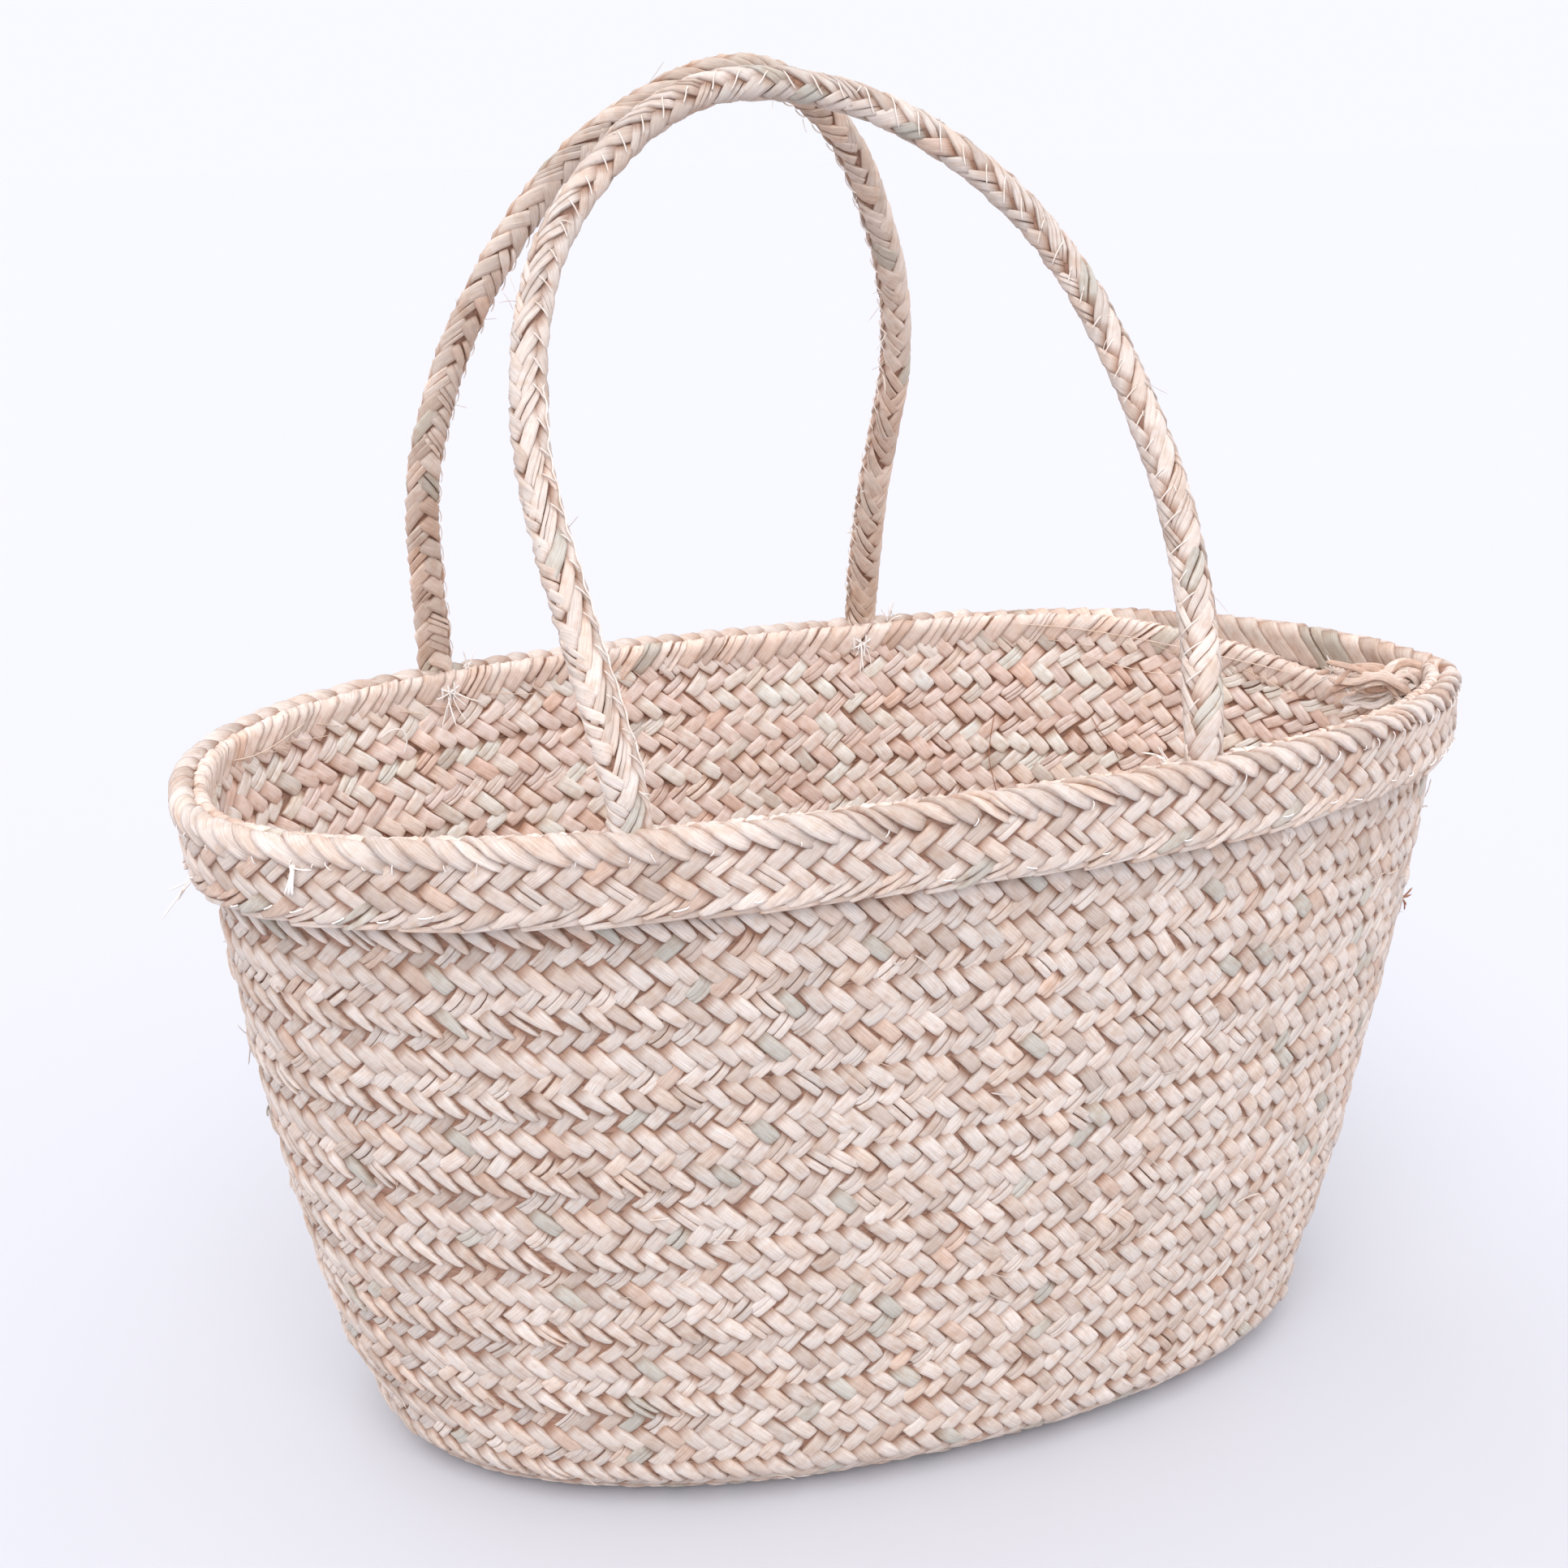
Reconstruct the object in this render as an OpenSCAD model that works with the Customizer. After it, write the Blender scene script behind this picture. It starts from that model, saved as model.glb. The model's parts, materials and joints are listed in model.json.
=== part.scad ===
// Market basket: one long palm-leaf plait wound from an oval base up the wall and
// laced edge to edge, a second plait sewn round the mouth, and two braided handles
// whose flat tails are held between the wall and the mouth band.

/* [Body] */
// Height of the mouth above the floor
body_h = 258; // [240:2:280]
// Half length of the mouth, tip to tip
mouth_a = 230; // [215:1:240]
// Half depth of the mouth
mouth_b = 107; // [100:1:115]
// Half length of the base
base_a = 193; // [180:1:205]
// Half depth of the base
base_b = 99; // [95:1:108]
// Radius on which the base turns up into the wall
corner_r = 20; // [16:1:24]
// How far the drawn-out right tip of the mouth sits towards the front
tip_lean = 22; // [0:1:24]

/* [Plait] */
// Thickness of the plait
plait_t = 4; // [3.5:0.5:5]
// Height of the band sewn round the mouth
band_h = 29; // [24:1:34]
// Room between the wall and the band, which the handle tails fill
tail_gap = 2.4; // [2.4:0.2:3.4]

/* [Handles] */
// Width of a handle at its roots
handle_w = 14; // [12:0.5:16]
// Thickness of a handle
handle_t = 10; // [8:0.5:11]
// Width of a handle at the top of its arch, as a share of the root's
handle_taper = 0.78; // [0.7:0.02:1]
// Angle by which both handles lean inwards at rest
handle_lean = 24; // [22:1:30]
// Height of the bending line of the handle roots above the mouth
hinge_rise = 8.5; // [8:0.5:12]

/* [Hidden] */
WALL_TURNS = 8;
BASE_TURNS = 2;
SEAMS = BASE_TURNS + WALL_TURNS + 1;
BODY_NODES = ["base_start", "corner_turn", "mouth_band", "band_stitches_top",
    "band_stitches_bottom", "plait_end"];
SIDES = ["front_left", "front_right", "back_left", "back_right"];
HANDLES = ["handle_front", "handle_back"];

leaf = "#e3d3c5";
leaf_shaded = "#dfcdbe";
leaf_pale = "#e7d9cc";
leaf_warm = "#d9c0aa";
thread = "#f4f1ec";
segments = 48;              // steps round the body
shoulder = 0.83;            // exponent of the mouth's full shoulders
point = 1.25;               // exponent of its pointed right end
base_round = 0.957;         // exponent of the base, just squarer than an ellipse
left_lean = 8;              // how far the left tip sits towards the front
bulge = 0.04;               // outward belly of the wall, as a share of its flare
groove = 2;                 // bevel on the inner edges of a turn, for the lacing
lacing_r = 1.1;
seat = 0.15;                // room between the lacing and its groove
roll = 2;                   // rounding of the band's upper edge
stitches = 40;              // round the mouth
tail_t = 1;
lashing_drops = [8, 14];    // depths of the two lashings below the mouth
sleeve_wall = 1.6;          // of the braided cover of a handle
core_slack = 0.5;           // between the cover and the core
cord_r = 0.7;               // of the thread sewn along a handle
end_girth = 0.7;            // of a handle's blunt ends, as a share of its width
band_out = plait_t + tail_gap;
wall_h = body_h - corner_r;
corner_len = corner_r * PI / 2;
turn_h = wall_h / WALL_TURNS;
top_s = corner_len + wall_h;    // profile length from the floor's edge to the mouth
hinge_z = body_h + hinge_rise;

// Angles round the mouth at which the handles are rooted, left then right
front_roots = [-112, -72];
back_roots = [123, 83.5];

// Centre lines of the two arches, in the plane of the handle: along the mouth,
// then up from the bending line
front_arch = [[-92, 0], [-102, 56], [-108, 108], [-96, 162], [-60, 202], [-22, 212],
    [24, 197], [62, 157], [86, 96], [94, 46], [92, 0]];
back_arch = [[-87, 0], [-91, 60], [-87, 98], [-73, 142], [-43, 190], [5, 217],
    [43, 200], [69, 157], [82, 112], [83, 52], [87, 0]];

function mix(a, b, k) = a + (b - a) * k;
function spow(v, e) = sign(v) * pow(abs(v), e);
function unit(v) = v / norm(v);

// ---- surface of the body -------------------------------------------------------
function mouth_xy(t) =
    let (right = max(0, cos(t)), left = max(0, -cos(t)))
    [mouth_a * spow(cos(t), shoulder),
     mouth_b * spow(sin(t), mix(shoulder, point, right * right))
        - tip_lean * pow(right, 6) - left_lean * pow(left, 6)];

function base_xy(t) = [base_a * spow(cos(t), base_round), base_b * spow(sin(t), base_round)];

function shrink(p, a, b, d) = [p[0] * (1 - d / a), p[1] * (1 - d / b)];

function wall_xy(t, k, d) =
    let (flare = k + bulge * sin(180 * k),
         top = shrink(mouth_xy(t), mouth_a, mouth_b, band_out),
         p = mix(base_xy(t), top, flare))
    shrink(p, mix(base_a, mouth_a, k), mix(base_b, mouth_b, k), d);

// Point at angle t round the body, at length s up the profile, d below the surface
function skin(t, s, d) =
    s <= 0 ? floor_pt(t, corner_r - s, d) :
    s < corner_len ? corner_pt(t, 90 * (1 - s / corner_len), d) :
    let (k = (s - corner_len) / wall_h, p = wall_xy(t, k, d))
    [p[0], p[1], corner_r + wall_h * k];

function floor_pt(t, inset, d) =
    let (p = shrink(base_xy(t), base_a, base_b, inset)) [p[0], p[1], d];

function corner_pt(t, phi, d) =
    let (r = corner_r - d, p = shrink(base_xy(t), base_a, base_b, corner_r - r * cos(phi)))
    [p[0], p[1], corner_r - r * sin(phi)];

// ---- rings ---------------------------------------------------------------------
// Closed ring whose cross-section is a list of [length up the profile, depth]
module ring(section) {
    n = len(section);
    points = [for (i = [0:segments - 1], q = section) skin(360 * i / segments, q[0], q[1])];
    polyhedron(points, [for (i = [0:segments - 1], j = [0:n - 1])
        let (a = i * n + j, b = i * n + (j + 1) % n, step = ((i + 1) % segments - i) * n)
        each [[a, b, b + step], [a, b + step, a + step]]]);
}

// One turn of the plait, from length s0 to s1, bevelled inside where it is laced
module turn(s0, s1, steps = 1) {
    outer = [for (i = [0:steps]) [mix(s0, s1, i / steps), 0]];
    inner = [for (i = [0:steps]) [mix(s1 - groove, s0 + groove, i / steps), plait_t]];
    ring(concat(outer, [[s1, plait_t - groove]], inner, [[s0, plait_t - groove]]));
}

module wall_turn(i) {
    color(i % 2 == 0 ? leaf : leaf_shaded)
    turn(corner_len + (i - 1) * turn_h, corner_len + i * turn_h);
}

module base_turn(i) {
    color(i % 2 == 0 ? leaf : leaf_shaded)
    turn(-(BASE_TURNS - i + 1) * turn_h, -(BASE_TURNS - i) * turn_h);
}

module corner_turn() {
    color(leaf) turn(0, corner_len, 4);
}

// The doubled start of the plait, a flat oval that the turns are wound on
module base_start() {
    color(leaf_warm)
    linear_extrude(plait_t - groove)
    polygon([for (i = [0:segments - 1])
        let (p = skin(360 * i / segments, -BASE_TURNS * turn_h, 0)) [p[0], p[1]]]);
}

// Seam lengths up the profile: the joins of the base, the corner and the wall
function seam_s(i) =
    i <= BASE_TURNS ? -(BASE_TURNS - i + 1) * turn_h :
    i == BASE_TURNS + 1 ? 0 :
    corner_len + (i - BASE_TURNS - 2) * turn_h;

// Lacing cord seated in the inner groove of a seam
module lacing(i) {
    s = seam_s(i);
    d = plait_t - groove + lacing_r + seat;
    color(leaf_warm)
    ring([[s, d - lacing_r], [s + lacing_r, d], [s, d + lacing_r], [s - lacing_r, d]]);
}

// ---- mouth ---------------------------------------------------------------------
module mouth_band() {
    s0 = top_s - band_h;
    mid = -(tail_gap + plait_t / 2);
    color(leaf_pale)
    ring([[s0, -tail_gap], [s0, mid], [s0 + roll / 2, -band_out], [top_s - roll, -band_out],
        [top_s, mid], [top_s, -tail_gap]]);
}

// Places its children on the skin, with X along the mouth, -Y outwards and Z up the wall
module on_skin(t, s, d) {
    along = skin(t + 1, s, d) - skin(t - 1, s, d);
    up = skin(t, s + 1, d) - skin(t, s - 1, d);
    yaw = atan2(along[1], along[0]);
    tilt = atan2(up[0] * sin(yaw) - up[1] * cos(yaw), up[2]);
    translate(skin(t, s, d)) rotate(yaw) rotate([tilt, 0, 0]) children();
}

// Whip stitches under the lower edge of the band
module band_stitches_bottom() {
    stitch = [1.4, band_out - 1, 1.2];
    color(thread)
    for (i = [0:stitches - 1])
        on_skin(360 * (i + 0.5) / stitches, top_s - band_h, -band_out / 2)
        translate([0, 0, -stitch[2]]) cube(stitch, center = true);
}

// Short upright stitches on the face of the band, under its rolled edge
module band_stitches_top() {
    stitch = [0.8, 0.8, 6];
    drop = 10;
    color(thread)
    for (i = [0:stitches - 1])
        on_skin(360 * i / stitches, top_s - drop, -band_out - stitch[1]) cube(stitch, center = true);
}

// Bundled end of the plait, tucked inside the pointed tip of the mouth
module plait_end() {
    middle = [196, -16, body_h - 16];
    color(leaf_warm)
    translate(middle)
    hull() {
        cube([14, 9, 18], center = true);
        translate([-16, 0, 2]) cube([10, 5, 10], center = true);
        translate([0, 0, 12]) cube([8, 5, 6], center = true);
    }
}

function root_angle(side) =
    side == "front_left" ? front_roots[0] : side == "front_right" ? front_roots[1] :
    side == "back_left" ? back_roots[0] : back_roots[1];

// Flat tail of a handle, between the wall and the band
module tail(side) {
    size = [handle_w - 1, tail_t, band_h - 3];
    color(leaf_warm)
    on_skin(root_angle(side), top_s - size[2] / 2, -tail_gap / 2) cube(size, center = true);
}

// Thread wraps on the inner face of the wall that tie a tail down
module lashing(side) {
    wrap = [handle_w, 1, 1.4];
    color(thread)
    for (drop = lashing_drops)
        on_skin(root_angle(side), top_s - drop, plait_t + wrap[1]) cube(wrap, center = true);
}

// ---- handles -------------------------------------------------------------------
function root_pt(t) = let (p = skin(t, top_s, -tail_gap / 2)) [p[0], p[1], hinge_z];

// Frame of a handle: [middle of the bending line, along it, up the leaning plane]
function handle_frame(roots, inward) =
    let (a = root_pt(roots[0]), b = root_pt(roots[1]), ex = unit(b - a), n = [-ex[1], ex[0], 0])
    [(a + b) / 2, ex, cos(handle_lean) * [0, 0, 1] + sin(handle_lean) * inward * n];

// Catmull-Rom curve through a list of points, with the given steps per span
function bend(p, steps) =
    let (n = len(p), ext = concat([2 * p[0] - p[1]], p, [2 * p[n - 1] - p[n - 2]]))
    [for (i = [0:n - 2], j = [0:(i == n - 2 ? steps : steps - 1)])
        let (u = j / steps, a = ext[i], b = ext[i + 1], c = ext[i + 2], d = ext[i + 3])
        0.5 * (2 * b + (c - a) * u + (2 * a - 5 * b + 4 * c - d) * u * u
            + (3 * b - a - 3 * c + d) * u * u * u)];

// Full at the roots and slimmer at the top, with a blunt rounded end at each root
function girth(k) =
    (1 - (1 - handle_taper) * sin(180 * k)) * (k == 0 || k == 1 ? end_girth : 1);

// Rings of points of an oval section w by t swept along an arch. A positive shift
// moves the section towards the inside of the arch.
function handle_rings(frame, arch, sides, w, t, shift) =
    let (path = bend(arch, 3), n = len(path), normal = cross(frame[1], frame[2]))
    [for (i = [0:n - 1])
        let (ahead = path[min(i + 1, n - 1)] - path[max(i - 1, 0)],
             dir = unit(ahead), in_plane = [dir[1], -dir[0]], g = girth(i / (n - 1)))
        for (j = [0:sides - 1])
            let (a = 360 * (j + 0.5) / sides,
                 q = path[i] + in_plane * (g * w / 2 * cos(a) + shift * g),
                 lift = g * t / 2 * sin(a))
            frame[0] + frame[1] * q[0] + frame[2] * q[1] + normal * lift];

function tube_faces(rings, sides, start) =
    [for (i = [0:rings - 2], j = [0:sides - 1])
        let (a = start + i * sides + j, b = start + i * sides + (j + 1) % sides)
        each [[a, a + sides, b + sides], [a, b + sides, b]]];

function flipped(faces) = [for (f = faces) [f[2], f[1], f[0]]];

// Solid cord along the arch
module arch_cord(frame, arch, sides, w, t, shift) {
    points = handle_rings(frame, arch, sides, w, t, shift);
    rings = len(points) / sides;
    polyhedron(points, concat(
        tube_faces(rings, sides, 0),
        [[for (j = [0:sides - 1]) j]],
        [[for (j = [sides - 1:-1:0]) (rings - 1) * sides + j]]));
}

// Hollow braided sleeve along the arch
module arch_sleeve(frame, arch, sides, w, t, wall) {
    outer = handle_rings(frame, arch, sides, w, t, 0);
    inner = handle_rings(frame, arch, sides, w - 2 * wall, t - 2 * wall, 0);
    n = len(outer);
    last = n - sides;
    polyhedron(concat(outer, inner), concat(
        tube_faces(n / sides, sides, 0),
        flipped(tube_faces(n / sides, sides, n)),
        [for (j = [0:sides - 1]) let (k = (j + 1) % sides)
            each [[j, k, n + k], [j, n + k, n + j],
                [last + k, last + j, n + last + j], [last + k, n + last + j, n + last + k]]]));
}

function arch_of(h) = h == "handle_front" ? front_arch : back_arch;
function frame_of(h) =
    h == "handle_front" ? handle_frame(front_roots, 1) : handle_frame(back_roots, -1);

module handle_cover(h) {
    color(leaf) arch_sleeve(frame_of(h), arch_of(h), 8, handle_w, handle_t, sleeve_wall);
}

module handle_core(h) {
    slack = 2 * sleeve_wall + core_slack;
    color(leaf_warm) arch_cord(frame_of(h), arch_of(h), 6, handle_w - slack, handle_t - slack, 0);
}

module handle_thread(h) {
    color(thread)
    arch_cord(frame_of(h), arch_of(h), 4, 2 * cord_r, 2 * cord_r, handle_w / 2 + cord_r + 0.2);
}

base_start();
corner_turn();
mouth_band();
band_stitches_top();
band_stitches_bottom();
plait_end();
for (i = [1:BASE_TURNS]) base_turn(i);
for (i = [1:WALL_TURNS]) wall_turn(i);
for (i = [1:SEAMS]) lacing(i);
for (s = SIDES) tail(s);
for (s = SIDES) lashing(s);
for (h = HANDLES) handle_cover(h);
for (h = HANDLES) handle_core(h);
for (h = HANDLES) handle_thread(h);
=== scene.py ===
import json
import math

import bpy
import numpy as np
from mathutils import Matrix, Vector


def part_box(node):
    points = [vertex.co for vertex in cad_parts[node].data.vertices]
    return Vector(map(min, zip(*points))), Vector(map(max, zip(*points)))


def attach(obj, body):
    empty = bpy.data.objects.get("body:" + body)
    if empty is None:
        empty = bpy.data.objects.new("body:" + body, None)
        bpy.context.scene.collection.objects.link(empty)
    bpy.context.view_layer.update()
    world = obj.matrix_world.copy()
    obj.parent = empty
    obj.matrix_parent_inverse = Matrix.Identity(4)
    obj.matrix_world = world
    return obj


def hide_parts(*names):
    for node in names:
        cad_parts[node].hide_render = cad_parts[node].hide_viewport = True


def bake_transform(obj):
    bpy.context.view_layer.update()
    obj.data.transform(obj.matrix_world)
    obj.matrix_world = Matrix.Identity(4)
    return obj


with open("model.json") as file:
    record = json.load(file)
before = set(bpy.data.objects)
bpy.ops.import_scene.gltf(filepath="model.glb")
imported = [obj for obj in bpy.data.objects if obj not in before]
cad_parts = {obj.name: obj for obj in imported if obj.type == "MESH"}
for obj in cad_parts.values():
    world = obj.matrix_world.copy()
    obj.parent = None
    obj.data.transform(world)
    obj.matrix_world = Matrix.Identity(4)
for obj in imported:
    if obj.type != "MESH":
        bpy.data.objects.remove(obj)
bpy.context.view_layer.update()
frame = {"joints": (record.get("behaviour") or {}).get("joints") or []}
SEED = 41
RNG = np.random.default_rng(SEED)

# ---- sizes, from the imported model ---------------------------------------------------
BAND_LO, BAND_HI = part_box("mouth_band")
_, CORNER_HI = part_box("corner_turn")
TURN_LO, TURN_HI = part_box("wall_turn_1")
MOUTH_A, MOUTH_B, BODY_H = BAND_HI.x, BAND_HI.y, BAND_HI.z
BASE_A, BASE_B, CORNER_R = CORNER_HI.x, CORNER_HI.y, CORNER_HI.z
BAND_H = BAND_HI.z - BAND_LO.z
TURN_H = TURN_HI.z - TURN_LO.z
WALL_TURNS, BASE_TURNS = 8, 2
WALL_H = BODY_H - CORNER_R
CORNER_LEN = CORNER_R * math.pi / 2
TOP_S = CORNER_LEN + WALL_H
PLAIT_T = 0.004
TAIL_GAP = 0.0024  # room between wall and band for the handles' tails
BAND_OUT = PLAIT_T + TAIL_GAP

# ---- shape of the body, as in the CAD ------------------------------------------------
SHOULDER, POINT, BASE_ROUND = 0.83, 1.25, 0.957  # exponents of the two outlines
TIP_LEAN, LEFT_LEAN, BULGE = 0.022, 0.008, 0.04

# ---- the soft body's small departures from the CAD shape -------------------------------
LEFT_SAG, SAG_AT = 0.003, math.radians(215)  # the mouth hangs lower at the front left
LEFT_BULGE, RIGHT_BULGE = 0.0034, 0.0052  # both ends belly out
RIGHT_RISE = 1.7  # and the right one does so higher up
# the foot tucks in at both ends: by what share of the length, fading over what height
LEFT_TUCK, LEFT_TUCK_H = 0.028, 0.06
RIGHT_TUCK, RIGHT_TUCK_H = 0.050, 0.12
TIP_IN, TIP_IN_FROM = 0.0025, 0.9  # the pointed tip leans in near the top
FULLER, FULL_AT = 0.06, math.radians(-40)  # the base is fuller at the front right


def mix(a, b, k):
    return a + (b - a) * k


def spow(v, e):
    return np.sign(v) * np.abs(v) ** e


def smooth(x, lo, hi):
    k = np.clip((x - lo) / (hi - lo), 0, 1)
    return k * k * (3 - 2 * k)


def mouth_xy(t):
    c, s = np.cos(t), np.sin(t)
    right, left = np.maximum(c, 0), np.maximum(-c, 0)
    return (
        MOUTH_A * spow(c, SHOULDER),
        MOUTH_B * spow(s, mix(SHOULDER, POINT, right**2))
        - TIP_LEAN * right**6
        - LEFT_LEAN * left**6,
    )


def base_xy(t):
    e = BASE_ROUND - FULLER * np.maximum(np.cos(t - FULL_AT), 0) ** 2
    return BASE_A * spow(np.cos(t), e), BASE_B * spow(np.sin(t), e)


def skin(t, s, d):
    """Point at angle t round the body, at length s up the profile, d below the surface.

    s is below 0 on the flat of the base, then come the round corner and the wall.
    """
    t, s, d = np.broadcast_arrays(t, s, d)
    bx, by = base_xy(t)
    phi = np.clip(math.pi / 2 * (1 - s / CORNER_LEN), 0, math.pi / 2)
    r = CORNER_R - d
    inset = np.where(s <= 0, CORNER_R - s, CORNER_R - r * np.cos(phi))
    k = (s - CORNER_LEN) / WALL_H
    right, ends = np.cos(t) > 0, np.cos(t) ** 4
    amount = np.where(right, RIGHT_TUCK, LEFT_TUCK)
    height = np.where(right, RIGHT_TUCK_H, LEFT_TUCK_H)
    tuck = 1 - amount * ends * np.exp(-((np.maximum(k, 0) / height) ** 2))
    low = np.stack(
        [
            bx * (1 - inset / BASE_A) * tuck,
            by * (1 - inset / BASE_B),
            np.where(s <= 0, d, CORNER_R - r * np.sin(phi)),
        ],
        -1,
    )
    flare = k + BULGE * np.sin(math.pi * k)
    mx, my = mouth_xy(t)
    mx, my = mx * (1 - BAND_OUT / MOUTH_A), my * (1 - BAND_OUT / MOUTH_B)
    x = mix(bx, mx, flare) * (1 - d / mix(BASE_A, MOUTH_A, k)) * tuck
    rise = np.clip(k, 0, 1)
    left_belly = LEFT_BULGE * np.sin(math.pi * rise)
    right_belly = RIGHT_BULGE * np.sin(math.pi * rise**RIGHT_RISE)
    x = x + ends * np.where(right, right_belly, -left_belly)
    near_top = np.clip((k - TIP_IN_FROM) / (1 - TIP_IN_FROM), 0, 1)
    x = x - TIP_IN * np.maximum(np.cos(t), 0) ** 6 * near_top
    y = mix(by, my, flare) * (1 - d / mix(BASE_B, MOUTH_B, k))
    sag = LEFT_SAG * np.maximum(np.cos(t - SAG_AT), 0) ** 2 * rise**2
    high = np.stack([x, y, CORNER_R + WALL_H * k - sag], -1)
    return np.where((s < CORNER_LEN)[..., None], low, high)


def lengthwise(profile, level, steps=7200):
    """Length round the body at one level, and the angle at a given length along it."""
    t = np.linspace(-math.pi / 2, 1.5 * math.pi, steps + 1)
    p = profile(t, np.full_like(t, level))
    run = np.concatenate([[0], np.cumsum(np.linalg.norm(np.diff(p, axis=0), axis=1))])
    return run[-1], lambda a: np.interp(np.mod(a, run[-1]), run, t)


def ring_surface(profile, level):
    """Surface over (length round the body, length up the profile), its length and angle."""
    total, angle = lengthwise(profile, level)
    return (lambda a, s: profile(angle(a), s)), total, angle


# ---- strips of leaf --------------------------------------------------------------------
# a, s place the strip's middle on a surface, ang turns it there, and len, wid, h are its
# size; round rounds its far end, taper narrows it, bend and bow curve it sideways, roll
# tilts it, peak says where it is highest, and off shifts it sideways
STRIP = np.dtype(
    [(n, float) for n in ("a", "s", "ang", "len", "wid", "h", "round", "bend", "bow", "roll")]
    + [("peak", float), ("off", float), ("taper", float), ("tint", float, 3)]
)
# where a strip has vertices: along it from 0 to 1, and across it from -1 to 1
FINE = ([0, 0.07, 0.28, 0.58, 0.80, 0.91, 0.97, 1], [-1, -0.90, -0.5, 0.5, 0.90, 1])
CURVED = ([0, 0.05, 0.11, 0.17, 0.23, 0.30, 0.38, 0.47, 0.58, 0.72, 0.86, 0.95, 1], FINE[1])
COARSE = ([0, 0.12, 0.5, 0.88, 1], [-1, -0.8, 0.8, 1])
UNDER = 0.0006  # depth of the hidden layer under the strips' zero level
# partly the brown cut edge of the leaf, partly painted shade where strips meet and tuck under one another
EDGE_BROWN_AND_SHADE = np.array([0.54, 0.38, 0.30])  # the dark rim of a strip, times its own colour


def linear(*rgb):
    """Scene colour of an 8-bit screen colour."""
    c = np.array(rgb, float) / 255
    return np.where(c <= 0.04045, c / 12.92, ((c + 0.055) / 1.055) ** 2.4)


# leaf colours and how often each comes up
LEAF_TONES = [
    (linear(237, 222, 215), 0.44),
    (linear(243, 230, 224), 0.20),
    (linear(238, 218, 207), 0.14),
    (linear(224, 205, 195), 0.13),
    (linear(214, 207, 199), 0.035),
    (linear(228, 202, 188), 0.03),
]
LEAF_LEVEL = np.array([0.84, 0.84, 0.812])  # dims them all, in red, green and blue
LIGHTEST = 0.95


def tones(n, shade=(1, 1, 1), spread=0.05):
    """Colours of n strips, drawn from LEAF_TONES and times a shade."""
    weights = np.array([w for _, w in LEAF_TONES])
    pick = RNG.choice(len(LEAF_TONES), n, p=weights / weights.sum())
    base = np.array([c for c, _ in LEAF_TONES])[pick]
    level = 1 + RNG.normal(0, spread, (n, 1))
    return np.clip(base * LEAF_LEVEL * np.array(shade) * level, 0, LIGHTEST)


def strips(n, **values):
    """Table of n strips with the given fields set."""
    out = np.zeros(n, STRIP)
    out["peak"] = 0.55
    for k, v in values.items():
        out[k] = v
    return out


def split(table, share):
    """Splits that share of the strips lengthwise into two narrower ones."""
    chosen = RNG.random(len(table)) < share
    whole, cut = table[~chosen], table[chosen]
    out = [whole]
    shift = RNG.normal(0, 0.06, len(cut))
    for middle in (-0.25, 0.25 + shift):
        half = cut.copy()
        half["off"] = cut["off"] + cut["wid"] * middle
        half["wid"] = cut["wid"] * 0.52
        half["h"] = cut["h"] * RNG.uniform(0.75, 1.1, len(cut))
        half["len"] = cut["len"] * RNG.uniform(0.94, 1.04, len(cut))
        half["tint"] = cut["tint"] * RNG.uniform(0.90, 1.05, (len(cut), 1))
        out.append(half)
    return np.concatenate(out)


def jitter(table, place=0.00025, angle=0.05, size=0.05, height=0.14):
    """Makes every strip of a table a little irregular."""
    n = len(table)
    table["a"] += RNG.normal(0, place, n)
    table["s"] += RNG.normal(0, place, n)
    table["ang"] += RNG.normal(0, angle, n)
    table["len"] *= 1 + RNG.normal(0, size, n)
    table["wid"] *= 1 + RNG.normal(0, size * 0.6, n)
    table["h"] *= 1 + RNG.normal(0, height, n)
    return table


def quad_faces(index):
    """Quads between neighbouring points of index grids."""
    corners = [index[..., :-1, :-1], index[..., 1:, :-1], index[..., 1:, 1:], index[..., :-1, 1:]]
    return np.stack(corners, -1).reshape(-1, 4)


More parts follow.
